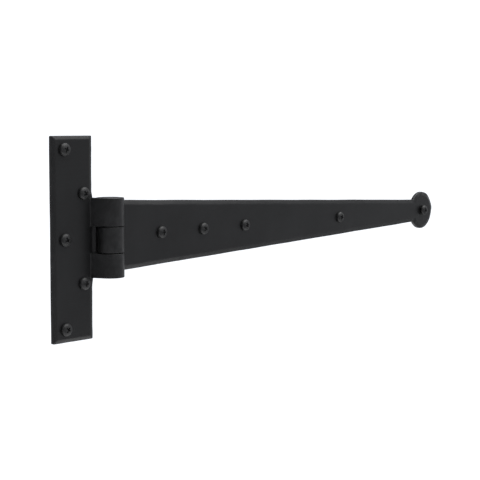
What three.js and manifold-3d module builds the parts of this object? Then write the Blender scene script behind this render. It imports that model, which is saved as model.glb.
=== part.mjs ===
// Penny-end tee hinge in black coated steel: a fixing plate with two rolled knuckles, a tapered strap
// with one rolled knuckle and a round end, the pin that joins them, and ten round-head screws.
// Millimetres. +X runs along the strap, +Y into the door, +Z up.
// The origin is the centre of the fixing plate's back face, and both leaves lie flat on the plane Y = 0.

import * as THREE from 'three';
import { mergeVertices } from 'three/addons/utils/BufferGeometryUtils.js';
import Module from 'manifold-3d';

const wasm = await Module();
wasm.setup();

// Sheet that both leaves are made from
const SHEET = 4;

// Fixing plate
const PLATE_WIDTH = 38;
const PLATE_HEIGHT = 152;
const PLATE_BEVEL_WIDTH = 2.8;
const PLATE_BEVEL_DEPTH = 1;

// Strap, from its root beside the barrel to the round end
const HINGE_REACH = 457; // from the far side of the barrel to the tip of the round end
const STRAP_ROOT_WIDTH = 54.6;
const STRAP_NECK_WIDTH = 22;
const PENNY_DIAMETER = 36.5;
const STRAP_BEVEL_WIDTH = 3.2;
const STRAP_BEVEL_DEPTH = 1.1;

// Barrel
const PIN_DIAMETER = 12.7;
const PIN_CLEARANCE = 0.15; // radial
const PIN_CHAMFER = 0.5;
const UPPER_KNUCKLE = 21.1;
const MIDDLE_KNUCKLE = 19.1;
const LOWER_KNUCKLE = 18.2;
const KNUCKLE_GAP = 0.8;
const LEAF_GAP = 1; // between the barrel and the edge of either leaf
const BEND_RADIUS = 1; // inside radius of the bend where a leaf turns up into its knuckle
const RISE = THREE.MathUtils.degToRad(68); // how steeply the sheet rises from a leaf to its knuckle
const CURL_PAST_BACK = THREE.MathUtils.degToRad(52); // how far a curl goes on after it touches the door plane
const NOTCH_CLEARANCE = 1; // between the middle knuckle and the plate's notch
const TONGUE_LAP = 6; // flat stretch of each knuckle that lies within its leaf

// Screws, given by the centres of their holes
const PLATE_OUTER_SCREW_END = 10; // from the plate's top and bottom ends
const PLATE_OUTER_SCREW_EDGE = 11; // from the plate's free edge
const PLATE_INNER_SCREW_EDGE = 9; // from the edge beside the barrel
const PLATE_INNER_SCREW_OFFSET = 3.5; // beyond the ends of the barrel
const STRAP_SCREW_REACH = [60, 108, 159, 291]; // from the pin's axis; the fifth is at the round end's centre
const SCREW_SHANK_DIAMETER = 4.2;
const SCREW_LENGTH = 12.7; // under the head
const SCREW_TIP = 3.5;
const SCREW_HEAD_DIAMETER = 9.5;
const SCREW_HEAD_RIM = 0.9;
const SCREW_HEAD_DOME = 2.4;
const SCREW_HOLE_CLEARANCE = 0.4; // radial
const SCREW_SEAT_GAP = 0.1;
const RECESS_SPAN = 4.8;
const RECESS_WIDTH = 1.1;
const RECESS_DEPTH = 1.7;
const PLATE_SCREW_TURNS = [20, 65, 35, 50, 5]; // degrees that each recess is turned
const STRAP_SCREW_TURNS = [0, 40, 70, 25, 55];

// Facets
const ARC_DIVISIONS = 14;
const PIN_SEGMENTS = 48;
const HOLE_SEGMENTS = 24;
const SCREW_SEGMENTS = 24;
const DOME_STEPS = 5;
const WELD = 1e-4;

// Sizes that follow from those above
const BORE_RADIUS = PIN_DIAMETER / 2 + PIN_CLEARANCE;
const BARREL_RADIUS = BORE_RADIUS + SHEET;
const BARREL_LENGTH = UPPER_KNUCKLE + MIDDLE_KNUCKLE + LOWER_KNUCKLE + 2 * KNUCKLE_GAP;
const LEAF_OFFSET = BARREL_RADIUS + LEAF_GAP; // from the pin's axis to the edge of either leaf
const PIN_X = PLATE_WIDTH / 2 + LEAF_OFFSET;
const PIN_Y = -BARREL_RADIUS;
const BARREL_TOP = BARREL_LENGTH / 2;
const UPPER_CENTRE = BARREL_TOP - UPPER_KNUCKLE / 2;
const MIDDLE_CENTRE = BARREL_TOP - UPPER_KNUCKLE - KNUCKLE_GAP - MIDDLE_KNUCKLE / 2;
const LOWER_CENTRE = -BARREL_TOP + LOWER_KNUCKLE / 2;
const PENNY_REACH = HINGE_REACH - BARREL_RADIUS - PENNY_DIAMETER / 2; // from the pin's axis
const HOLE_RADIUS = SCREW_SHANK_DIAMETER / 2 + SCREW_HOLE_CLEARANCE;

function coated(colour, roughness) {
  return new THREE.MeshStandardMaterial({ color: colour, roughness, metalness: 0.3 });
}

// A closed geometry as a solid that can be joined and cut
function solid(geometry) {
  const bare = geometry.clone();
  bare.deleteAttribute('normal');
  bare.deleteAttribute('uv');
  const welded = mergeVertices(bare, WELD);
  const index = welded.index.array;
  const triVerts = [];
  for (let i = 0; i < index.length; i += 3) {
    const corners = [index[i], index[i + 1], index[i + 2]];
    if (new Set(corners).size === 3) triVerts.push(...corners);
  }
  return new wasm.Manifold(new wasm.Mesh({
    numProp: 3,
    vertProperties: new Float32Array(welded.attributes.position.array),
    triVerts: new Uint32Array(triVerts),
  }));
}

function part(name, body, material) {
  const { vertProperties, triVerts } = body.getMesh();
  const geometry = new THREE.BufferGeometry();
  geometry.setAttribute('position', new THREE.BufferAttribute(vertProperties, 3));
  geometry.setIndex(new THREE.BufferAttribute(triVerts, 1));
  geometry.computeVertexNormals();
  const mesh = new THREE.Mesh(geometry, material);
  mesh.name = name;
  return mesh;
}

// A leaf cut from sheet: flat back on y = 0, front at y = -SHEET, front edges bevelled all round.
// The outline is drawn as x and z.
function bevelledLeaf(outline, bevelWidth, bevelDepth) {
  const blank = new THREE.ExtrudeGeometry(outline, {
    depth: SHEET - bevelDepth,
    bevelThickness: bevelDepth,
    bevelSize: bevelWidth,
    bevelOffset: -bevelWidth,
    bevelSegments: 1,
    curveSegments: ARC_DIVISIONS,
  });
  blank.rotateX(Math.PI / 2);
  blank.computeBoundingBox();
  const size = blank.boundingBox.getSize(new THREE.Vector3());
  const centre = blank.boundingBox.getCenter(new THREE.Vector3());
  const behind = new THREE.BoxGeometry(2 * size.x, size.y, 2 * size.z);
  behind.translate(centre.x, size.y / 2, centre.z);
  return solid(blank).subtract(solid(behind));
}

// Holes through a leaf's sheet at the given [x, z] places; the sheet lies between back - SHEET and back
function drill(leaf, places, back) {
  let drilled = leaf;
  for (const [x, z] of places) {
    const hole = new THREE.CylinderGeometry(HOLE_RADIUS, HOLE_RADIUS, 2 * SHEET, HOLE_SEGMENTS);
    hole.translate(x, back - SHEET / 2, z);
    drilled = drilled.subtract(solid(hole));
  }
  return drilled;
}

// Section of a knuckle about the pin's axis, with its leaf on the -x side and the door on the +y side:
// the flat sheet bends forward, rises on a slant to meet the barrel, curls over the front and ends at
// the back.
function knuckleSection() {
  const bendEnd = Math.PI / 2 - RISE;
  const curlStart = 1.5 * Math.PI - RISE;
  const curlEnd = 2.5 * Math.PI + CURL_PAST_BACK;
  const bendY = BORE_RADIUS - BEND_RADIUS;
  const slantHeight = bendY + BEND_RADIUS * Math.sin(bendEnd) - BARREL_RADIUS * Math.sin(curlStart);
  const slantX = BARREL_RADIUS * Math.cos(curlStart) - slantHeight / Math.tan(RISE);
  const bendX = slantX - BEND_RADIUS * Math.cos(bendEnd);
  const section = new THREE.Shape();
  section.moveTo(bendX - TONGUE_LAP, BARREL_RADIUS);
  section.lineTo(bendX - TONGUE_LAP, BORE_RADIUS);
  section.lineTo(bendX, BORE_RADIUS);
  section.absarc(bendX, bendY, BEND_RADIUS, Math.PI / 2, bendEnd, true);
  section.absarc(0, 0, BARREL_RADIUS, curlStart, curlEnd, false);
  section.absarc(0, 0, BORE_RADIUS, curlEnd, curlStart, true);
  section.absarc(bendX, bendY, BEND_RADIUS + SHEET, bendEnd, Math.PI / 2, false);
  return section;
}

function extrudeAlongPin(section, height, centre) {
  const geometry = new THREE.ExtrudeGeometry(section, {
    depth: height,
    bevelEnabled: false,
    curveSegments: ARC_DIVISIONS,
  });
  geometry.translate(0, 0, centre - height / 2);
  return geometry;
}

// Flat land left at the end of the plate's notch, between its two knuckles, with a bevelled edge
function notchLand() {
  const frontOfEdge = BORE_RADIUS + PLATE_BEVEL_DEPTH;
  const edge = -Math.sqrt((BARREL_RADIUS + NOTCH_CLEARANCE) ** 2 - frontOfEdge ** 2);
  const section = new THREE.Shape();
  section.moveTo(-LEAF_OFFSET - TONGUE_LAP, BARREL_RADIUS);
  section.lineTo(-LEAF_OFFSET - TONGUE_LAP, BORE_RADIUS);
  section.lineTo(edge - PLATE_BEVEL_WIDTH, BORE_RADIUS);
  section.lineTo(edge, frontOfEdge);
  section.lineTo(edge, BARREL_RADIUS);
  return extrudeAlongPin(section, MIDDLE_KNUCKLE + 2 * KNUCKLE_GAP, MIDDLE_CENTRE);
}

const plateScrewPlaces = [
  [-PLATE_WIDTH / 2 + PLATE_OUTER_SCREW_EDGE, PLATE_HEIGHT / 2 - PLATE_OUTER_SCREW_END],
  [-PLATE_WIDTH / 2 + PLATE_OUTER_SCREW_EDGE, 0],
  [-PLATE_WIDTH / 2 + PLATE_OUTER_SCREW_EDGE, -PLATE_HEIGHT / 2 + PLATE_OUTER_SCREW_END],
  [PLATE_WIDTH / 2 - PLATE_INNER_SCREW_EDGE, BARREL_TOP + PLATE_INNER_SCREW_OFFSET],
  [PLATE_WIDTH / 2 - PLATE_INNER_SCREW_EDGE, -BARREL_TOP - PLATE_INNER_SCREW_OFFSET],
];
const strapScrewPlaces = [...STRAP_SCREW_REACH, PENNY_REACH].map((reach) => [reach, 0]);

function fixingPlate() {
  const outline = new THREE.Shape();
  outline.moveTo(-PLATE_WIDTH / 2, -PLATE_HEIGHT / 2);
  outline.lineTo(PLATE_WIDTH / 2, -PLATE_HEIGHT / 2);
  outline.lineTo(PLATE_WIDTH / 2, PLATE_HEIGHT / 2);
  outline.lineTo(-PLATE_WIDTH / 2, PLATE_HEIGHT / 2);
  const barrelParts = [
    extrudeAlongPin(knuckleSection(), UPPER_KNUCKLE, UPPER_CENTRE),
    extrudeAlongPin(knuckleSection(), LOWER_KNUCKLE, LOWER_CENTRE),
    notchLand(),
  ];
  let plate = bevelledLeaf(outline, PLATE_BEVEL_WIDTH, PLATE_BEVEL_DEPTH);
  for (const geometry of barrelParts) {
    geometry.translate(PIN_X, PIN_Y, 0);
    plate = plate.add(solid(geometry));
  }
  return part('fixing_plate', drill(plate, plateScrewPlaces, 0), coated(0x2c2c2e, 0.55));
}

// The strap is drawn about the pin's axis, which its group carries
function strap() {
  const pennyRadius = PENNY_DIAMETER / 2;
  const rootHalf = STRAP_ROOT_WIDTH / 2;
  const neckAngle = Math.asin(STRAP_NECK_WIDTH / PENNY_DIAMETER);
  const outline = new THREE.Shape();
  outline.moveTo(LEAF_OFFSET, rootHalf);
  outline.lineTo(LEAF_OFFSET, -rootHalf);
  outline.absarc(PENNY_REACH, 0, pennyRadius, Math.PI + neckAngle, 3 * Math.PI - neckAngle, false);
  const blade = bevelledLeaf(outline, STRAP_BEVEL_WIDTH, STRAP_BEVEL_DEPTH);
  const knuckle = extrudeAlongPin(knuckleSection(), MIDDLE_KNUCKLE, 0);
  knuckle.rotateY(Math.PI);
  knuckle.translate(0, 0, MIDDLE_CENTRE);
  const whole = blade.translate([0, BARREL_RADIUS, 0]).add(solid(knuckle));
  return part('strap', drill(whole, strapScrewPlaces, BARREL_RADIUS), coated(0x2f2f31, 0.5));
}

function hingePin() {
  const radius = PIN_DIAMETER / 2;
  const half = BARREL_LENGTH / 2;
  const profile = [
    [0, -half],
    [radius - PIN_CHAMFER, -half],
    [radius, -half + PIN_CHAMFER],
    [radius, half - PIN_CHAMFER],
    [radius - PIN_CHAMFER, half],
    [0, half],
  ].map(([x, y]) => new THREE.Vector2(x, y));
  const turned = new THREE.LatheGeometry(profile, PIN_SEGMENTS);
  turned.rotateX(Math.PI / 2);
  return part('hinge_pin', solid(turned), coated(0x353537, 0.45));
}

// A screw seats at y = 0, with its head on the -y side and its shank along +y
function screw(name) {
  const headRadius = SCREW_HEAD_DIAMETER / 2;
  const shankRadius = SCREW_SHANK_DIAMETER / 2;
  const profile = [];
  for (let i = 0; i <= DOME_STEPS; i += 1) {
    const angle = (1 - i / DOME_STEPS) * Math.PI / 2;
    const height = SCREW_HEAD_RIM + SCREW_HEAD_DOME * Math.sin(angle);
    profile.push(new THREE.Vector2(headRadius * Math.cos(angle), -height));
  }
  profile[0].x = 0;
  profile.push(new THREE.Vector2(headRadius, 0));
  profile.push(new THREE.Vector2(shankRadius, 0));
  profile.push(new THREE.Vector2(shankRadius, SCREW_LENGTH - SCREW_TIP));
  profile.push(new THREE.Vector2(0, SCREW_LENGTH));
  const headTop = -SCREW_HEAD_RIM - SCREW_HEAD_DOME;
  let body = solid(new THREE.LatheGeometry(profile, SCREW_SEGMENTS));
  for (const [sizeX, sizeZ] of [[RECESS_SPAN, RECESS_WIDTH], [RECESS_WIDTH, RECESS_SPAN]]) {
    const slot = new THREE.BoxGeometry(sizeX, 2 * RECESS_DEPTH, sizeZ);
    slot.translate(0, headTop, 0);
    body = body.subtract(solid(slot));
  }
  return part(name, body, coated(0x303032, 0.5));
}

// Screws at the given [x, z] places on a leaf whose front face is at y = front
function screws(prefix, places, turns, front) {
  return places.map(([x, z], i) => {
    const mesh = screw(`${prefix}_${i + 1}`);
    mesh.position.set(x, front - SCREW_SEAT_GAP, z);
    mesh.rotation.y = THREE.MathUtils.degToRad(turns[i]);
    return mesh;
  });
}

const pin = hingePin();
pin.position.set(PIN_X, PIN_Y, 0);

const plateLeaf = new THREE.Group();
plateLeaf.add(fixingPlate(), pin, ...screws('plate_screw', plateScrewPlaces, PLATE_SCREW_TURNS, -SHEET));

const strapLeaf = new THREE.Group();
strapLeaf.position.set(PIN_X, PIN_Y, 0);
strapLeaf.add(strap(), ...screws('strap_screw', strapScrewPlaces, STRAP_SCREW_TURNS, BORE_RADIUS));

const hinge = new THREE.Group();
hinge.add(plateLeaf, strapLeaf);

export default hinge;
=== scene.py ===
"""Penny-end tee hinge in satin black coated steel, laid out as an add-on and run as a script.

Each maker's function returns a closed mesh worked out with numpy: a leaf is its outline carried
through an edge profile, a knuckle is the sheet's section carried along the line that the sheet is
rolled to, and the pin and screws are profiles turned about their axes. All sizes are in metres.
"""

import math

import bmesh
import bpy
import numpy as np
from bpy.props import FloatProperty, FloatVectorProperty, PointerProperty
from mathutils import Matrix, Vector


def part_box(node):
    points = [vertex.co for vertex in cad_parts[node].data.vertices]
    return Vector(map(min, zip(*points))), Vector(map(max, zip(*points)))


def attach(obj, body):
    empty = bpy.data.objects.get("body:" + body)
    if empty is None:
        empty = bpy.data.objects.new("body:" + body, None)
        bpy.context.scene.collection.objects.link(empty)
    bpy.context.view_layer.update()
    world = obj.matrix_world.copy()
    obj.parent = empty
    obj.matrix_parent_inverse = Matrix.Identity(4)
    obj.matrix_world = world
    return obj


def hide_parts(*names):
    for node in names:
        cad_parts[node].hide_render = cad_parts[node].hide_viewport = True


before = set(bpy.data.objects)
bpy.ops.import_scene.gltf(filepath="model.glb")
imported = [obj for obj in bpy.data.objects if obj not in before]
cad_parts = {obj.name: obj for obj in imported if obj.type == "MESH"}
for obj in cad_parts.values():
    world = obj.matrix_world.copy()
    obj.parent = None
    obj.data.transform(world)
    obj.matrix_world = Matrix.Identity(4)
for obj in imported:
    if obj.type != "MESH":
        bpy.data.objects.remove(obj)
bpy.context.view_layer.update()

bl_info = {
    "name": "Penny-End Tee Hinge",
    "version": (1, 0, 0),
    "blender": (4, 5, 0),
    "location": "3D View > Sidebar > Hinge",
    "description": "Builds a black tee hinge with rolled knuckles and round-head screws around its frame",
    "category": "Add Mesh",
}

MM = 0.001
PLATE_BODY, STRAP_BODY = "plate_leaf", "strap_leaf"
PLATE_SCREWS = sorted(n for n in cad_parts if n.startswith("plate_screw"))
STRAP_SCREWS = sorted(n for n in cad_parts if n.startswith("strap_screw"))

# Places read from the frame
PLATE_LOW, PLATE_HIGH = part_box("fixing_plate")
STRAP_LOW, STRAP_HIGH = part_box("strap")
PIN_LOW, PIN_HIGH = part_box("hinge_pin")
PIN = (PIN_LOW + PIN_HIGH) / 2
PIN_RADIUS = (PIN_HIGH.x - PIN_LOW.x) / 2
BARREL_RADIUS = -PIN.y
BARREL_TOP = PIN_HIGH.z
PLATE_EDGE = -PLATE_LOW.x
LEAF_OFFSET = PIN.x - PLATE_EDGE  # from the pin's axis to the edge of either leaf


def centre_of(node):
    """Middle of a node's box."""
    low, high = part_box(node)
    return (low + high) / 2


PENNY_X = centre_of(STRAP_SCREWS[-1]).x
PENNY_RADIUS = STRAP_HIGH.x - PENNY_X
HEAD_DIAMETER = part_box(PLATE_SCREWS[0])[1].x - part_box(PLATE_SCREWS[0])[0].x
SCREW_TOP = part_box(PLATE_SCREWS[0])[0].y
SCREW_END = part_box(PLATE_SCREWS[0])[1].y


# ---------------------------------------------------------------- properties

def length(name, description, millimetres):
    return FloatProperty(name=name, description=description, default=millimetres * MM, unit="LENGTH",
                         precision=5, min=0.0)


def angle(name, description, degrees):
    return FloatProperty(name=name, description=description, default=math.radians(degrees),
                         subtype="ANGLE")


def colour(name, description, grey):
    return FloatVectorProperty(name=name, description=description, default=grey, subtype="COLOR",
                               size=3, min=0.0, max=1.0)


class HingeSizes(bpy.types.PropertyGroup):
    sheet: length("Sheet", "Thickness of the plate and strap", 4.0)
    plate_bevel: length("Plate bevel", "Width of the forged bevel round the plate", 2.8)
    plate_bevel_depth: length("Plate bevel depth", "Drop of the plate's bevel", 1.0)
    strap_bevel: length("Strap bevel", "Width of the forged bevel round the strap", 3.7)
    strap_bevel_depth: length("Strap bevel depth", "Drop of the strap's bevel", 1.3)
    neck: length("Neck", "Width of the strap where it meets the round end", 22.0)
    upper_knuckle: length("Upper knuckle", "Height of the plate's upper knuckle", 21.0)
    middle_knuckle: length("Middle knuckle", "Height of the strap's knuckle", 18.9)
    lower_knuckle: length("Lower knuckle", "Height of the plate's lower knuckle", 18.1)
    knuckle_gap: length("Knuckle gap", "Gap between neighbouring knuckles at the front", 1.0)
    knuckle_round: length("Barrel rounding", "Rounding of the barrel's two ends", 0.65)
    gap_round: length("Gap rounding", "Rounding of the knuckles' ends beside a gap", 0.22)
    rear_reach: length("Rear reach", "How much further each knuckle reaches into a gap at the back", 0.36)
    bend: length("Bend", "Inside radius where a leaf turns up into its knuckle", 1.0)
    rise: angle("Rise", "How steeply the sheet rises from a leaf to its knuckle", 68)
    curl: angle("Curl", "How far a knuckle is rolled past the back of the barrel", 52)
    hole: length("Screw hole", "Diameter of the screw holes", 5.0)
    shank: length("Screw shank", "Outer diameter of the screw thread", 4.2)
    thread_depth: length("Thread depth", "Depth of the screw thread", 0.5)
    thread_pitch: length("Thread pitch", "Distance between turns of the screw thread", 1.7)
    head_rim: length("Head rim", "Height of the upright rim of a screw head", 1.3)
    recess: length("Recess", "Span of the cross recess in a screw head", 5.2)
    recess_width: length("Recess width", "Width of an arm of the cross recess", 1.3)
    recess_depth: length("Recess depth", "Depth of the cross recess", 1.6)
    unevenness: length("Unevenness", "How far a hand-forged edge wanders", 0.07)


class HingeFinish(bpy.types.PropertyGroup):
    coat: colour("Coat", "Satin black of the plate and strap", (0.0035, 0.0035, 0.0038))
    coat_light: colour("Lighter coat", "Black where the coat is thinner", (0.006, 0.006, 0.0065))
    rubbed: colour("Rubbed edge", "Coat rubbed along ridges and rims", (0.045, 0.045, 0.046))
    screw_black: colour("Screw black", "Japanned black of the screws", (0.016, 0.016, 0.0165))


# ---------------------------------------------------------------- shapes worked out with numpy

def smoothstep(x):
    """Goes from 0 to 1 as x does, level at both ends: three x squared less two x cubed."""
    x = np.clip(x, 0.0, 1.0)
    return x * x * (3 - 2 * x)


SINES = 5
FEWEST_TURNS, MOST_TURNS = 0.6, 2.6  # turns of one sine in a wavelength
WAVE_PEAK = 2.6                      # about how high the sines add up


def wander(x, seed, wavelength):
    """Slow random wave along x: a sum of sines with seeded turns and phases, mostly between -1 and 1."""
    rng = np.random.default_rng(seed)
    turns = rng.uniform(FEWEST_TURNS, MOST_TURNS, SINES)[:, None]
    phases = rng.uniform(0, 2 * math.pi, SINES)[:, None]
    waves = np.sin(2 * math.pi * turns * x[None, :] / wavelength + phases)
    return waves.sum(0) / WAVE_PEAK


def corner(before, at, after, cut, steps):
    """Rounded corner: a quadratic curve from a point cut short of the corner to one cut beyond it.
    The corner and its neighbours may be arrays of points, one row for each place along a path."""
    back, on = before - at, after - at
    back_length = np.linalg.norm(back, axis=-1, keepdims=True)
    on_length = np.linalg.norm(on, axis=-1, keepdims=True)
    cut = np.minimum(cut, 0.45 * np.minimum(back_length, on_length))
    start, end = at + back * cut / back_length, at + on * cut / on_length
    t = np.linspace(0, 1, steps)[:, None, None]
    return (1 - t) ** 2 * start + 2 * t * (1 - t) * at + t ** 2 * end


def arc(centre, radius, start, end, steps):
    """Points on a circle about centre from angle start to angle end, both ends included."""
    a = np.linspace(start, end, steps)
    return np.stack([centre[0] + radius * np.cos(a), centre[1] + radius * np.sin(a)], 1)


def straight(a, b, steps):
    """Evenly spaced points on the line from a to b."""
    return np.asarray(a) + (np.asarray(b) - np.asarray(a)) * np.linspace(0, 1, steps)[:, None]


def rounded_loop(corners, cut, steps):
    """Closed outline: each corner of a polygon rounded by a quadratic curve that starts cut before it."""
    corners = np.asarray(corners, float)
    cuts = np.broadcast_to(cut, len(corners))
    parts = [corner(corners[i - 1][None], corners[i][None], corners[(i + 1) % len(corners)][None],
                    cuts[i], steps)[:, 0] for i in range(len(corners))]
    return np.concatenate(parts)


def closed_mesh(name, rings, caps=True):
    """Closed mesh from rings of points, an array of rings x points x 3: neighbouring rings are joined
    by quads all round, and the two end rings are capped unless they have shrunk to a line or a point."""
    rows, columns = rings.shape[:2]
    index = np.arange(rows * columns).reshape(rows, columns)
    around = np.roll(index, -1, axis=1)
    quads = np.stack([index[:-1], around[:-1], around[1:], index[1:]], -1).reshape(-1, 4)
    faces = quads.tolist()
    if caps:
        faces += [index[0][::-1].tolist(), index[-1].tolist()]
    mesh = bpy.data.meshes.new(name)
    mesh.from_pydata(rings.reshape(-1, 3).tolist(), [], faces)
    work = bmesh.new()
    work.from_mesh(mesh)
    bmesh.ops.remove_doubles(work, verts=work.verts, dist=1e-7)
    bmesh.ops.dissolve_degenerate(work, edges=work.edges, dist=1e-8)
    bmesh.ops.recalc_face_normals(work, faces=work.faces)
    if any(not edge.is_manifold for edge in work.edges):
        raise RuntimeError(f"{name} has an open edge")
    work.to_mesh(mesh)
    work.free()
    return mesh


def new_object(name, mesh):
    piece = bpy.data.objects.new(name, mesh)
    bpy.context.scene.collection.objects.link(piece)
    return piece


def combine(piece, operation, tools):
    """Joins meshes to a piece or cuts them from it, and leaves a plain closed mesh."""
    for mesh in tools:
        tool = new_object(f"{piece.name}_tool", mesh)
        step = piece.modifiers.new("combine", "BOOLEAN")
        step.operation = operation
        step.solver = "MANIFOLD"
        step.object = tool
        bpy.context.view_layer.update()
        result = piece.evaluated_get(bpy.context.evaluated_depsgraph_get())
        made = bpy.data.meshes.new_from_object(result)
        piece.modifiers.clear()
        piece.data = made
        bpy.data.objects.remove(tool)
    if len(piece.data.polygons) == 0:
        raise RuntimeError(f"{piece.name} came out empty")


# Edge profile of a leaf: distances in from the bevel's ridge, and from the edge on the back
FLAT_START, FLAT_NEXT, BACK_RING = 3.4 * MM, 1.6 * MM, 1.4 * MM
RIDGE_CUT, SHOULDER_CUT, HEEL_CUT = 0.6 * MM, 0.4 * MM, 0.3 * MM
EDGE_WAVE, BEVEL_WAVE, FACET_WAVE = 0.09, 0.05, 0.016  # wavelengths in metres
ACROSS = 0.7       # how fast the waves run across a leaf's end, compared with along it
BEVEL_SWAY = 0.04  # share of the wander in a bevel's width and drop
FACET_SWAY = 0.3   # share of the facets in the edge


def leaf_mesh(name, half_at, poles, place, bevel, depth, edge_work, sheet, seed, unevenness):
    """A forged leaf: its outline carried through an edge profile.

    half_at gives one side of the outline, set in by a distance, as (along, across) points, and the
    other side mirrors it. Each point moves in by the profile's inset and back by the profile's depth:
    flat front, bevel, upright edge, flat back. Further in, the rings shrink to the leaf's middle
    line, which runs between the two poles. edge_work gives how strong the bevel is at each point
    and how deeply it is hammered."""
    mirror = lambda side: np.concatenate([side, side[-2:0:-1] * [1, -1]])
    outline = mirror(half_at(0.0))
    inward = (mirror(half_at(1 * MM)) - outline) / MM
    strength, hammered = edge_work(outline)
    run = outline[:, 0] + ACROSS * abs(outline[:, 1])
    upper = outline[:, 1] >= 0
    two_sides = lambda first, wavelength: np.where(upper, wander(run, first, wavelength),
                                                   wander(run, first + 1, wavelength))
    wave, width_wave = two_sides(seed, EDGE_WAVE), two_sides(seed + 2, BEVEL_WAVE)
    facets = two_sides(seed + 4, FACET_WAVE)
    width = bevel * strength * (1 + BEVEL_SWAY * width_wave)
    drop = depth * strength * (1 + BEVEL_SWAY * wave + hammered * facets)
    zero = np.zeros_like(width)
    stack = lambda inset, back: np.stack([inset + zero, back + zero], 1)
    flat, ridge = stack(width + FLAT_START, 0), stack(width, 0)
    shoulder, heel = stack(0, drop), stack(0, sheet)
    back = stack(BACK_RING, sheet)
    profile = np.concatenate([
        flat[None], stack(width + FLAT_NEXT, 0)[None],
        corner(flat, ridge, shoulder, RIDGE_CUT, 6),
        corner(ridge, shoulder, heel, SHOULDER_CUT, 5),
        corner(shoulder, heel, back, HEEL_CUT, 4),
        back[None],
    ])
    sway = unevenness * (wave + FACET_SWAY * facets)[None, :, None]
    ring = outline[None] + inward[None] * (profile[..., :1] + sway)
    middle = np.stack([np.clip(outline[:, 0], *poles), zero], 1)
    shrink = np.linspace(1, 0, 6)[:-1, None, None]
    front = middle + (ring[0] - middle) * (1 - shrink)
    rear = middle + (ring[-1] - middle) * shrink
    flat_rings = np.concatenate([front, ring, rear, middle[None]])
    fill = lambda count, value: np.full((count, len(outline)), value)
    backs = np.concatenate([fill(len(front), 0.0), profile[..., 1], fill(len(rear) + 1, sheet)])
    return closed_mesh(name, place(flat_rings, backs - sheet), caps=False)


PLATE_LAP, STRAP_LAP = 3 * MM, 4 * MM  # how far a knuckle's sheet runs into its leaf
INNER_ROUND = 0.25 * MM                # rounding of a knuckle's edges beside the pin
REACH_BEHIND = 3 * MM                  # distance behind the pin's axis where the rear reach is full


def tongue_mesh(name, low, high, side, sizes, lap, free=0):
    """A knuckle rolled from sheet: the sheet's section, a rectangle with rounded edges, carried along
    the line that the sheet is rolled to. The line runs flat to the leaf's edge, bends forward on an arc,
    rises on a slant that touches the barrel, curls over the front and ends at the back. side is -1 for
    the plate and 1 for the strap.
    free is 1 or -1 where the knuckle's upper or lower end is an end of the barrel; at the back, the
    other ends reach a little further towards their neighbours."""
    half = sizes.sheet / 2
    lay = BARREL_RADIUS - half
    turn, joined = sizes.bend + half, 1.5 * math.pi - sizes.rise
    foot = np.array([0.0, lay - turn]) + turn * np.array([math.sin(sizes.rise), math.cos(sizes.rise)])
    joins = lay * np.array([math.cos(joined), math.sin(joined)])
    foot[0] = joins[0] - (foot[1] - joins[1]) / math.tan(sizes.rise)
    bend_x = foot[0] - turn * math.sin(sizes.rise)
    line = np.concatenate([
        straight([bend_x - lap, lay], [bend_x, lay], 3)[:-1],
        arc([bend_x, lay - turn], turn, math.pi / 2, math.pi / 2 - sizes.rise, 14)[:-1],
        straight(foot, joins, 6)[:-1],
        arc([0, 0], lay, joined, 2.5 * math.pi + sizes.curl, 84),
    ])
    tangent = np.gradient(line, axis=0)
    tangent[0] = tangent[1] = [1, 0]
    tangent /= np.linalg.norm(tangent, axis=1)[:, None]
    normal = np.stack([tangent[:, 1], -tangent[:, 0]], 1)
    height = (high - low) / 2
    lower, upper = (sizes.knuckle_round if free == end else sizes.gap_round for end in (-1, 1))
    section = rounded_loop([[half, -height], [half, height], [-half, height], [-half, -height]],
                           np.array([lower, upper, INNER_ROUND, INNER_ROUND]), 6)
    reach_down, reach_up = (0.0 if free == end else sizes.rear_reach for end in (-1, 1))
    reach = np.where(section[:, 1] > 0, reach_up, -reach_down)
    flat = line[:, None] + normal[:, None] * section[None, :, :1]
    x = PIN.x + flat[..., 0] * (1 if side < 0 else -1)
    y = PIN.y + flat[..., 1]
    z = (low + high) / 2 + section[None, :, 1] + smoothstep(line[:, 1:] / REACH_BEHIND) * reach
    return closed_mesh(name, np.stack([x, y, z], -1))


def prism_mesh(name, loop, low, high):
    """A closed outline of x and y points carried straight up from low to high."""
    levels = np.array([low, high])[:, None]
    x = np.broadcast_to(loop[None, :, 0], (2, len(loop)))
    y = np.broadcast_to(loop[None, :, 1], (2, len(loop)))
    return closed_mesh(name, np.stack([x, y, levels + 0 * x], -1))


def rod_mesh(name, x, z, radius, low, high):
    """A plain round rod along y, used to cut a hole."""
    a = np.linspace(0, 2 * math.pi, 48, endpoint=False)
    ends = np.array([low, high])[:, None]
    circle = np.stack([x + radius * np.cos(a), z + radius * np.sin(a)], 1)
    rings = np.stack([circle[None, :, 0] + 0 * ends, ends + 0 * circle[None, :, 0],
                      circle[None, :, 1] + 0 * ends], -1)
    return closed_mesh(name, rings)


def knuckle_levels(sizes):
    """Lowest and highest level of the upper, middle and lower knuckles."""
    upper = (BARREL_TOP - sizes.upper_knuckle, BARREL_TOP)
    middle_top = upper[0] - sizes.knuckle_gap
    middle = (middle_top - sizes.middle_knuckle, middle_top)
    lower_top = middle[0] - sizes.knuckle_gap
    return upper, middle, (lower_top - sizes.lower_knuckle, lower_top)


# ---------------------------------------------------------------- materials

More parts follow.
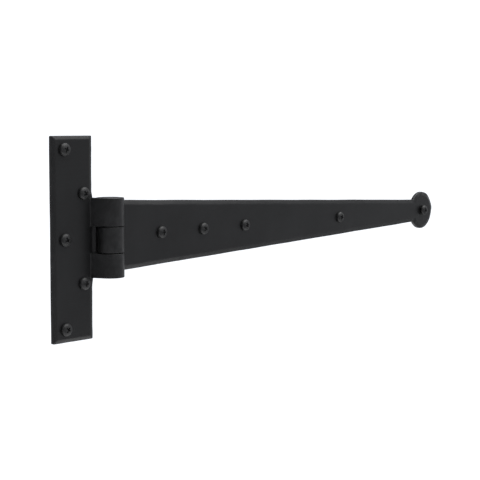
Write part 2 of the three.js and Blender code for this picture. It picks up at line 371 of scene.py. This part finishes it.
class Nodes:
    """Short way to add nodes to a material and join them."""

    def __init__(self, name):
        self.material = bpy.data.materials.new(name)
        self.material.use_nodes = True
        self.tree = self.material.node_tree
        self.shader = self.tree.nodes["Principled BSDF"]

    def add(self, kind, inputs=None, **settings):
        made = self.tree.nodes.new(f"ShaderNode{kind}")
        for key, value in settings.items():
            setattr(made, key, value)
        for key, value in (inputs or {}).items():
            if isinstance(value, bpy.types.NodeSocket):
                self.tree.links.new(value, made.inputs[key])
            else:
                made.inputs[key].default_value = value
        return made

    def noise(self, place, scale, detail=3.0, roughness=0.5):
        return self.add("TexNoise", {"Vector": place, "Scale": scale, "Detail": detail,
                                     "Roughness": roughness}).outputs["Fac"]

    def spread(self, value, low, high, to_low, to_high):
        return self.add("MapRange", {"Value": value, "From Min": low, "From Max": high,
                                     "To Min": to_low, "To Max": to_high}).outputs["Result"]

    def blend(self, factor, a, b):
        made = self.add("Mix", data_type="RGBA")
        self.tree.links.new(factor, made.inputs["Factor"])
        for socket, value in (("A", a), ("B", b)):
            target = [i for i in made.inputs if i.name == socket and i.type == "RGBA"][0]
            if isinstance(value, bpy.types.NodeSocket):
                self.tree.links.new(value, target)
            else:
                target.default_value = (*value, 1.0)
        return [o for o in made.outputs if o.type == "RGBA"][0]

    def bump(self, height, distance, strength, normal=None):
        inputs = {"Height": height, "Distance": distance, "Strength": strength}
        if normal is not None:
            inputs["Normal"] = normal
        return self.add("Bump", inputs).outputs["Normal"]

    def finish(self, **links):
        for key, socket in links.items():
            self.tree.links.new(socket, self.shader.inputs[key.replace("_", " ")])
        return self.material


# Scale, detail and roughness of each noise in the coat
CLOUDS, GRIT, SCUFFS = (22.0, 4.0, 0.6), (1500.0, 2.0, 0.6), (160.0, 5.0, 0.65)
DENTS, PEEL = (34.0, 2.0, 0.4), (900.0, 3.0, 0.55)


def black_coat(name, dark, finish, roughness, peel, dents):
    """Satin black coat on steel: two blacks in soft clouds, a fine orange peel, slow forging dents,
    fine grit in the gloss, and ridges rubbed a little lighter and smoother."""
    m = Nodes(name)
    place = m.add("TexCoord").outputs["Object"]
    ridge = m.add("Attribute", attribute_name="ridge").outputs["Fac"]
    clouds = m.noise(place, *CLOUDS)
    grit = m.noise(place, *GRIT)
    scuffs = m.noise(place, *SCUFFS)
    base = m.blend(m.spread(clouds, 0.35, 0.65, 0.0, 1.0), dark, finish.coat_light)
    worn = m.add("Math", {0: ridge, 1: m.spread(scuffs, 0.42, 0.62, 0.15, 1.0)}, operation="MULTIPLY")
    base = m.blend(worn.outputs[0], base, finish.rubbed)
    gloss = m.spread(grit, 0.3, 0.7, roughness - 0.05, roughness + 0.07)
    cloudy = m.spread(clouds, 0.3, 0.7, -0.03, 0.03)
    gloss = m.add("Math", {0: gloss, 1: cloudy}, operation="ADD").outputs[0]
    gloss = m.add("Math", {0: gloss, 1: m.spread(worn.outputs[0], 0.0, 1.0, 0.0, -0.1)},
                  operation="ADD").outputs[0]
    slow = m.bump(m.noise(place, *DENTS), dents, 1.0)
    fine = m.bump(m.noise(place, *PEEL), peel, 1.0, slow)
    m.shader.inputs["Specular IOR Level"].default_value = 0.5
    return m.finish(Base_Color=base, Roughness=gloss, Normal=fine)


def mark_ridges(piece, tightest):
    """Stores how sharply the surface turns outwards at each vertex, from 0 to 1, as attribute ridge.
    Along an edge the turn is the change of normal along it over its length, which is one over the
    radius; each vertex takes the mean over its edges, and a radius of tightest or less counts as 1."""
    mesh = piece.data
    co = np.empty(len(mesh.vertices) * 3)
    no = np.empty(len(mesh.vertices) * 3)
    ends = np.empty(len(mesh.edges) * 2, np.int32)
    mesh.vertices.foreach_get("co", co)
    mesh.vertices.foreach_get("normal", no)
    mesh.edges.foreach_get("vertices", ends)
    co, no, ends = co.reshape(-1, 3), no.reshape(-1, 3), ends.reshape(-1, 2)
    step = co[ends[:, 1]] - co[ends[:, 0]]
    turned = no[ends[:, 1]] - no[ends[:, 0]]
    bend = (turned * step).sum(1) / np.maximum((step ** 2).sum(1), 1e-12)
    total, count = np.zeros(len(co)), np.zeros(len(co))
    for end in (0, 1):
        np.add.at(total, ends[:, end], np.clip(bend, 0, 1 / tightest))
        np.add.at(count, ends[:, end], 1)
    worn = np.clip(total / np.maximum(count, 1) * tightest, 0, 1)
    layer = mesh.attributes.new("ridge", "FLOAT", "POINT")
    layer.data.foreach_set("value", worn.astype(np.float32))


def dress(piece, material, body, nodes, tightest=0.5 * MM, angle=34):
    """Shades the piece, sharp where faces meet at more than angle, and hands it to the frame."""
    mesh = piece.data
    mesh.materials.clear()
    mesh.materials.append(material)
    mesh.shade_smooth()
    mesh.set_sharp_from_angle(angle=math.radians(angle))
    mark_ridges(piece, tightest)
    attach(piece, body)
    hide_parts(*nodes)


# ---------------------------------------------------------------- the pieces

CORNER_CUT = 0.8 * MM
LEAST_BEVEL = 0.2                      # share of the bevel that is left beside a knuckle
HAMMERED, PENNY_HAMMERED = 0.05, 0.2   # share of the facets in a bevel's drop, and the round end's extra
PLATE_FADE, ROOT_FADE, PENNY_FADE = 5 * MM, 8 * MM, 4 * MM  # lengths over which these change
ROOT_POLE = 0.8                        # place of the strap's first pole, in half widths of its root


def plate_half(inset):
    """Right side of the plate's outline, set in by inset: (along, across) from its foot to its top."""
    foot, top, side = PLATE_LOW.z + inset, PLATE_HIGH.z - inset, PLATE_EDGE - inset
    points = np.array([[foot, 0], [foot, side], [top, side], [top, 0]])
    return np.concatenate([
        straight(points[0], [foot, side - CORNER_CUT], 11)[:-1],
        corner(points[0][None], points[1][None], points[2][None], CORNER_CUT, 5)[:, 0],
        straight([foot + CORNER_CUT, side], [top - CORNER_CUT, side], 78)[1:-1],
        corner(points[1][None], points[2][None], points[3][None], CORNER_CUT, 5)[:, 0],
        straight([top, side - CORNER_CUT], points[3], 11)[1:],
    ])


def strap_half(sizes):
    """Gives the function of the strap's upper side, set in by inset: (along, across) from its root
    line, along its taper to where that meets the round end, and round to its tip."""
    root, width, radius = PIN.x + LEAF_OFFSET, STRAP_HIGH.z, PENNY_RADIUS
    neck_x = PENNY_X - math.sqrt(radius ** 2 - (sizes.neck / 2) ** 2)
    along = np.array([neck_x - root, sizes.neck / 2 - width])
    along /= np.linalg.norm(along)
    inward = np.array([along[1], -along[0]])

    def half_at(inset):
        on_line = np.array([root, width]) + inward * inset - [PENNY_X, 0]
        start = on_line + along * (root + inset - PENNY_X - on_line[0]) / along[0]
        reach = -start @ along - math.sqrt((start @ along) ** 2 - start @ start + (radius - inset) ** 2)
        neck = start + along * reach
        turn = math.atan2(neck[1], neck[0])
        foot = np.array([start[0], 0.0])
        side = np.concatenate([
            straight(foot, start - [0, CORNER_CUT], 14)[:-1],
            corner(foot[None], start[None], neck[None], CORNER_CUT, 5)[:, 0],
            straight(start + along * CORNER_CUT, neck, 180)[1:-1],
            arc([0, 0], radius - inset, turn, 0, 48),
        ])
        return side + [PENNY_X, 0]

    return half_at


class HINGE_OT_fixing_plate(bpy.types.Operator):
    """Makes the fixing plate with its two rolled knuckles, the land between them and its screw holes"""
    bl_idname = "hinge.fixing_plate"
    bl_label = "Fixing plate"

    def execute(self, context):
        sizes, finish = context.scene.hinge_sizes, context.scene.hinge_finish

        def edge_work(outline):
            away = smoothstep((abs(outline[:, 0]) - BARREL_TOP) / PLATE_FADE)
            beside = outline[:, 1] > PLATE_EDGE - 1 * MM
            return np.where(beside, np.maximum(away, LEAST_BEVEL), 1.0), HAMMERED

        place = lambda flat, y: np.stack([flat[..., 1], y, flat[..., 0]], -1)
        poles = (PLATE_LOW.z + PLATE_EDGE, PLATE_HIGH.z - PLATE_EDGE)
        mesh = leaf_mesh("fixing_plate_forged", plate_half, poles, place, sizes.plate_bevel,
                         sizes.plate_bevel_depth, edge_work, sizes.sheet, 11, sizes.unevenness)
        piece = new_object("fixing_plate_forged", mesh)
        upper, middle, lower = knuckle_levels(sizes)
        knuckles = [tongue_mesh("knuckle", *ends, -1, sizes, PLATE_LAP, free)
                    for ends, free in ((upper, 1), (lower, -1))]
        knuckles.append(prism_mesh("land", land_loop(sizes), lower[1] - LAND_LAP, upper[0] + LAND_LAP))
        combine(piece, "UNION", knuckles)
        combine(piece, "DIFFERENCE", screw_holes(PLATE_SCREWS, sizes))
        coat = black_coat("plate_black", finish.coat, finish, roughness=0.34, peel=0.02 * MM,
                          dents=0.25 * MM)
        dress(piece, coat, PLATE_BODY, ["fixing_plate"])
        return {"FINISHED"}


LAND_LAP = 0.7 * MM       # how far the land runs into the knuckles above and below it
LAND_CLEARANCE = 0.22 * MM  # between the middle knuckle and the land's back edge
# From the bend's tip to the start of the cove: towards the pin's axis, and round it
COVE_INSET, COVE_TURN = 0.1 * MM, math.radians(2.5)


def land_loop(sizes):
    """Section of the land between the plate's knuckles: the sheet starts up into the bend on an arc,
    then is cut back under the middle knuckle on a curve round the pin. The curve's distance from the
    pin's axis goes evenly from just inside the bend's tip to LAND_CLEARANCE outside the barrel."""
    face, back = BARREL_RADIUS - sizes.sheet, BARREL_RADIUS
    rise, sweep = 3 * MM, math.radians(62)
    a = np.linspace(0, sweep, 9)
    start = -LEAF_OFFSET - 1.5 * MM
    bend = np.stack([start + rise * np.sin(a), face - rise * (1 - np.cos(a))], 1)
    tip = bend[-1]
    near, lip = np.linalg.norm(tip) - COVE_INSET, BARREL_RADIUS + LAND_CLEARANCE
    a = np.linspace(math.atan2(tip[1], tip[0]) - COVE_TURN, math.pi - math.asin(back / lip), 14)
    reach = np.linspace(near, lip, 14)
    cove = np.stack([reach * np.cos(a), np.minimum(reach * np.sin(a), back)], 1)
    root = np.array([[cove[-1, 0], back], [start - 2 * MM, back], [start - 2 * MM, face]])
    return np.concatenate([root, bend, cove[:-1]]) + [PIN.x, PIN.y]


def screw_holes(nodes, sizes):
    """Rods along y, one through the middle of each node, that reach past both faces of the leaf."""
    places = [centre_of(node) for node in nodes]
    return [rod_mesh("hole", p.x, p.z, sizes.hole / 2, -2 * sizes.sheet, sizes.sheet) for p in places]


class HINGE_OT_strap(bpy.types.Operator):
    """Makes the tapered strap with its rolled knuckle, round end and screw holes"""
    bl_idname = "hinge.strap"
    bl_label = "Strap"

    def execute(self, context):
        sizes, finish = context.scene.hinge_sizes, context.scene.hinge_finish
        root = PIN.x + LEAF_OFFSET

        def edge_work(outline):
            at_root = outline[:, 0] < root + 0.1 * MM
            away = smoothstep((abs(outline[:, 1]) - sizes.middle_knuckle / 2) / ROOT_FADE)
            on_penny = smoothstep((outline[:, 0] - PENNY_X + PENNY_RADIUS) / PENNY_FADE)
            hammered = HAMMERED + PENNY_HAMMERED * on_penny
            return np.where(at_root, np.maximum(away, LEAST_BEVEL), 1.0), hammered

        place = lambda flat, y: np.stack([flat[..., 0], y, flat[..., 1]], -1)
        poles = (root + STRAP_HIGH.z * ROOT_POLE, PENNY_X)
        mesh = leaf_mesh("strap_forged", strap_half(sizes), poles, place, sizes.strap_bevel,
                         sizes.strap_bevel_depth, edge_work, sizes.sheet, 29, sizes.unevenness)
        piece = new_object("strap_forged", mesh)
        _, middle, _ = knuckle_levels(sizes)
        combine(piece, "UNION", [tongue_mesh("knuckle", *middle, 1, sizes, STRAP_LAP)])
        combine(piece, "DIFFERENCE", screw_holes(STRAP_SCREWS, sizes))
        coat = black_coat("strap_black", finish.coat, finish, roughness=0.34, peel=0.02 * MM,
                          dents=0.3 * MM)
        dress(piece, coat, STRAP_BODY, ["strap"])
        return {"FINISHED"}


class HINGE_OT_pin(bpy.types.Operator):
    """Makes the pin that joins the knuckles, with softly domed ends"""
    bl_idname = "hinge.pin"
    bl_label = "Pin"

    def execute(self, context):
        finish = context.scene.hinge_finish
        top, dome, edge = BARREL_TOP, 0.35 * MM, 0.6 * MM
        out = np.linspace(0, 1, 7)
        cap = np.stack([out * (PIN_RADIUS - edge), top - dome * out ** 2], 1)
        a = np.linspace(0, math.pi / 2, 6)
        rim = np.stack([PIN_RADIUS - edge + edge * np.sin(a), top - dome - edge + edge * np.cos(a)], 1)
        upper = np.concatenate([cap[:-1], rim])
        profile = np.concatenate([upper, upper[::-1] * [1, -1]])
        a = np.linspace(0, 2 * math.pi, 96, endpoint=False)
        rings = np.stack([PIN.x + profile[:, :1] * np.cos(a), PIN.y + profile[:, :1] * np.sin(a),
                          PIN.z + profile[:, 1:] + 0 * a], -1)
        piece = new_object("hinge_pin_turned", closed_mesh("hinge_pin_turned", rings, caps=False))
        coat = black_coat("pin_black", finish.screw_black, finish, roughness=0.42, peel=0.015 * MM,
                          dents=0.05 * MM)
        dress(piece, coat, PLATE_BODY, ["hinge_pin"])
        return {"FINISHED"}


TIP_SHARE, TIP_BLUNT = 0.28, 0.6     # share of the shank that tapers to the tip, and the taper's power
FADE_IN, FADE_OUT = 0.3, 0.12        # shares of the shank where the thread starts and ends
RIDGE_HALF, RIDGE_ROUND = 0.32, 0.8  # half width of the thread's ridge in pitches, and its power
UNDER_RING = 0.2 * MM                # from the shank to the next ring on the head's underside
# How long and how wide the recess's arms are above the head, at its top and at the recess's floor
RECESS_ARMS, RECESS_WIDTHS = (1.15, 1.0, 0.45), (1.1, 1.0, 0.7)


def screw_mesh(sizes, front):
    """A round-head wood screw along y, seated at the level front, with its head on the -y side.

    The surface is a profile turned about the screw's axis. Head: an upright rim under a dome that is
    a quarter of an ellipse. Shank: radius is the core plus a thread, whose height is a rounded ridge
    of (distance along the screw / pitch - angle / one turn), and which fades out at the head and
    tapers to a point at the end."""
    radius = HEAD_DIAMETER / 2
    dome = front - SCREW_TOP - sizes.head_rim
    a = np.linspace(math.pi / 2, 0, 15)
    head = np.stack([radius * np.cos(a), front - sizes.head_rim - dome * np.sin(a)], 1)
    under = np.array([[radius, front - 0.25 * MM], [radius - 0.08 * MM, front - 0.06 * MM],
                      [radius - 0.25 * MM, front], [sizes.shank / 2 + UNDER_RING, front]])
    y = np.linspace(front, SCREW_END, 84)
    along = (y - front) / (SCREW_END - front)
    taper = smoothstep((1 - along) / TIP_SHARE) ** TIP_BLUNT
    core = (sizes.shank / 2 - sizes.thread_depth) * taper
    core[-1] = 0
    turns = 2 * math.pi * np.arange(40) / 40
    phase = (y - front)[:, None] / sizes.thread_pitch - turns[None, :] / (2 * math.pi)
    ridge = np.maximum(0, 1 - abs(phase % 1 - 0.5) / RIDGE_HALF) ** RIDGE_ROUND
    strength = smoothstep(along / FADE_IN) * smoothstep((1 - along) / FADE_OUT)
    plain = (1 - smoothstep(along / FADE_IN)) * sizes.thread_depth
    thread = sizes.thread_depth * ridge * (strength * taper ** 0.5)[:, None]
    shank = core[:, None] + plain[:, None] + thread
    head = np.concatenate([head, under])
    r = np.concatenate([np.broadcast_to(head[:, :1], (len(head), len(turns))), shank])
    level = np.concatenate([head[:, 1], y])[:, None]
    rings = np.stack([r * np.cos(turns), level + 0 * r, r * np.sin(turns)], -1)
    return closed_mesh("screw", rings, caps=False)


def recess_mesh(sizes):
    """The tapered cross that is cut into a screw head: a plus-shaped outline carried down through three
    levels, above the head, at its top and at the recess's floor. RECESS_ARMS and RECESS_WIDTHS give how
    long and how wide its arms are at each level."""
    arm, half = sizes.recess / 2, sizes.recess_width / 2
    plus = np.array([[half, -arm], [half, -half], [arm, -half], [arm, half], [half, half], [half, arm],
                     [-half, arm], [-half, half], [-arm, half], [-arm, -half], [-half, -half],
                     [-half, -arm]])
    levels = SCREW_TOP + np.array([-1 * MM, 0.0, sizes.recess_depth])
    long, wide = np.array(RECESS_ARMS), np.array(RECESS_WIDTHS)
    scale = np.where(abs(plus)[None] > half * 1.01, long[:, None, None], wide[:, None, None])
    flat = plus[None] * scale
    return closed_mesh("recess", np.stack([flat[..., 0], levels[:, None] + 0 * flat[..., 0],
                                           flat[..., 1]], -1))


STANDS_PROUD = {"strap_screw_5": 1.2 * MM}  # not quite driven home
SCREW_TURNS = {"plate_screw": (20, 65, 35, 50, 5), "strap_screw": (0, 40, 70, 25, 55)}


class HINGE_OT_screws(bpy.types.Operator):
    """Makes the ten round-head screws, each turned to its own angle"""
    bl_idname = "hinge.screws"
    bl_label = "Screws"

    def execute(self, context):
        sizes, finish = context.scene.hinge_sizes, context.scene.hinge_finish
        coat = black_coat("screw_black", finish.screw_black, finish, roughness=0.44, peel=0.012 * MM,
                          dents=0.03 * MM)
        pattern = new_object("screw_pattern", screw_mesh(sizes, -sizes.sheet))
        combine(pattern, "DIFFERENCE", [recess_mesh(sizes)])
        for nodes, body in ((PLATE_SCREWS, PLATE_BODY), (STRAP_SCREWS, STRAP_BODY)):
            for i, node in enumerate(nodes):
                place = centre_of(node)
                turned = Matrix.Rotation(math.radians(SCREW_TURNS[node[:-2]][i]), 4, "Y")
                mesh = pattern.data.copy()
                proud = STANDS_PROUD.get(node, 0.0)
                mesh.transform(Matrix.Translation((place.x, -proud, place.z)) @ turned)
                piece = new_object(f"{node}_threaded", mesh)
                dress(piece, coat, body, [node], tightest=0.35 * MM, angle=40)
        bpy.data.objects.remove(pattern)
        return {"FINISHED"}


# ---------------------------------------------------------------- the stage

BRIGHT_SIDE = (0.88, 0.35, 0.32)  # direction of the room's bright side
AROUND = (0.26, 0.5)              # strength of the room's light on its dark and bright sides
BACKDROP = 1.2                    # strength of the room as the camera sees it
ROOM_WHITE, FLOOR_WHITE = (0.94, 0.96, 1.0, 1.0), (0.93, 0.93, 0.93, 1.0)
OVERHEAD, KEY, EDGE = 2.8, 12, 0.6
OVERHEAD_SPREAD, OVERHEAD_AIM = math.radians(70), (-0.2, 0.2, -1.0)
LIGHT_TARGET = (0.1, 0, 0)
KEY_PLACE, EDGE_PLACE = (1.1, -1.9, 1.6), (2.8, -0.35, 0.2)
FLOOR_LEVEL = PLATE_LOW.z - 0.4
FLOOR_SPAN = 0.7
VIEW_TARGET = Vector((0.188, 0.0, -0.0129))
VIEW_DISTANCE = 1.062
VIEW_AZIMUTH, VIEW_ELEVATION, VIEW_ROLL = math.radians(48.2), math.radians(5.14), math.radians(0.15)
VIEW_LENS, VIEW_SENSOR, VIEW_FAR = 93.8, 36.0, 200.0


def add_light(name, place, target, width, height, power):
    """A rectangular lamp at place that faces target."""
    lamp = bpy.data.lights.new(name, "AREA")
    lamp.shape = "RECTANGLE"
    lamp.size, lamp.size_y = width, height
    lamp.energy = power
    light = bpy.data.objects.new(name, lamp)
    bpy.context.scene.collection.objects.link(light)
    light.location = place
    light.rotation_euler = (Vector(target) - Vector(place)).to_track_quat("-Z", "Y").to_euler()


def add_camera():
    """A camera VIEW_DISTANCE from its target, along the azimuth and elevation, rolled by VIEW_ROLL."""
    forward = Vector((math.sin(VIEW_AZIMUTH) * math.cos(VIEW_ELEVATION),
                      math.cos(VIEW_AZIMUTH) * math.cos(VIEW_ELEVATION), -math.sin(VIEW_ELEVATION)))
    right = Vector((math.cos(VIEW_AZIMUTH), -math.sin(VIEW_AZIMUTH), 0.0))
    up = right.cross(forward)
    tilted = math.cos(VIEW_ROLL) * right + math.sin(VIEW_ROLL) * up
    upright = math.cos(VIEW_ROLL) * up - math.sin(VIEW_ROLL) * right
    lens = bpy.data.cameras.new("camera")
    lens.lens, lens.sensor_width = VIEW_LENS, VIEW_SENSOR
    lens.clip_end = VIEW_FAR
    camera = bpy.data.objects.new("camera", lens)
    bpy.context.scene.collection.objects.link(camera)
    turn = Matrix((tilted, upright, -forward)).transposed().to_4x4()
    camera.matrix_world = Matrix.Translation(VIEW_TARGET - forward * VIEW_DISTANCE) @ turn
    bpy.context.scene.camera = camera


def add_floor():
    """A pale square floor below the hinge."""
    mesh = bpy.data.meshes.new("floor")
    s = FLOOR_SPAN
    mesh.from_pydata([(-s, -s, FLOOR_LEVEL), (s, -s, FLOOR_LEVEL), (s, s, FLOOR_LEVEL),
                      (-s, s, FLOOR_LEVEL)], [], [(0, 1, 2, 3)])
    floor = new_object("floor", mesh)
    m = Nodes("floor_white")
    m.shader.inputs["Base Color"].default_value = FLOOR_WHITE
    m.shader.inputs["Roughness"].default_value = 0.9
    m.shader.inputs["Specular IOR Level"].default_value = 0.0
    mesh.materials.append(m.material)


def add_room(scene):
    """A room that is lighter on its bright side: its strength goes evenly from one end of AROUND to the
    other with the cosine of the angle to BRIGHT_SIDE. The camera itself sees a plain backdrop."""
    world = bpy.data.worlds.new("studio")
    scene.world = world
    world.use_nodes = True
    tree = world.node_tree
    around = tree.nodes["Background"]
    around.inputs["Color"].default_value = ROOM_WHITE
    place = tree.nodes.new("ShaderNodeTexCoord")
    towards = tree.nodes.new("ShaderNodeVectorMath")
    towards.operation = "DOT_PRODUCT"
    towards.inputs[1].default_value = BRIGHT_SIDE
    tree.links.new(place.outputs["Generated"], towards.inputs[0])
    room = tree.nodes.new("ShaderNodeMapRange")
    for key, value in zip(("From Min", "From Max", "To Min", "To Max"), (-1.0, 1.0, *AROUND)):
        room.inputs[key].default_value = value
    tree.links.new(towards.outputs["Value"], room.inputs["Value"])
    ray = tree.nodes.new("ShaderNodeLightPath")
    level = tree.nodes.new("ShaderNodeMix")
    tree.links.new(ray.outputs["Is Camera Ray"], level.inputs["Factor"])
    tree.links.new(room.outputs["Result"], level.inputs["A"])
    level.inputs["B"].default_value = BACKDROP
    tree.links.new(level.outputs["Result"], around.inputs["Strength"])


def add_overhead():
    """A very wide sun that comes from above."""
    sun = bpy.data.lights.new("overhead", "SUN")
    sun.energy = OVERHEAD
    sun.angle = OVERHEAD_SPREAD
    light = bpy.data.objects.new("overhead", sun)
    bpy.context.scene.collection.objects.link(light)
    light.rotation_euler = Vector(OVERHEAD_AIM).to_track_quat("-Z", "Y").to_euler()


class HINGE_OT_stage(bpy.types.Operator):
    """Makes the pale floor, the soft studio light and the camera"""
    bl_idname = "hinge.stage"
    bl_label = "Stage"

    def execute(self, context):
        add_floor()
        add_camera()
        add_room(context.scene)
        add_overhead()
        add_light("key", KEY_PLACE, LIGHT_TARGET, 2.4, 1.2, KEY)
        add_light("edge", EDGE_PLACE, LIGHT_TARGET, 0.8, 1.5, EDGE)
        context.scene.view_settings.view_transform = "Standard"
        return {"FINISHED"}


class HINGE_PT_panel(bpy.types.Panel):
    """Lists the hinge's makers, sizes and finish in the sidebar"""
    bl_idname = "HINGE_PT_panel"
    bl_label = "Tee Hinge"
    bl_space_type = "VIEW_3D"
    bl_region_type = "UI"
    bl_category = "Hinge"

    def draw(self, context):
        for maker in MAKERS:
            self.layout.operator(maker.bl_idname)
        for group in (context.scene.hinge_sizes, context.scene.hinge_finish):
            for name in group.__annotations__:
                self.layout.prop(group, name)


MAKERS = (HINGE_OT_fixing_plate, HINGE_OT_strap, HINGE_OT_pin, HINGE_OT_screws, HINGE_OT_stage)
CLASSES = (HingeSizes, HingeFinish, *MAKERS, HINGE_PT_panel)


def register():
    for item in CLASSES:
        bpy.utils.register_class(item)
    bpy.types.Scene.hinge_sizes = PointerProperty(type=HingeSizes)
    bpy.types.Scene.hinge_finish = PointerProperty(type=HingeFinish)


def unregister():
    del bpy.types.Scene.hinge_finish
    del bpy.types.Scene.hinge_sizes
    for item in reversed(CLASSES):
        bpy.utils.unregister_class(item)


def main():
    register()
    bpy.ops.hinge.fixing_plate()
    bpy.ops.hinge.strap()
    bpy.ops.hinge.pin()
    bpy.ops.hinge.screws()
    bpy.ops.hinge.stage()


if __name__ == "__main__":
    main()
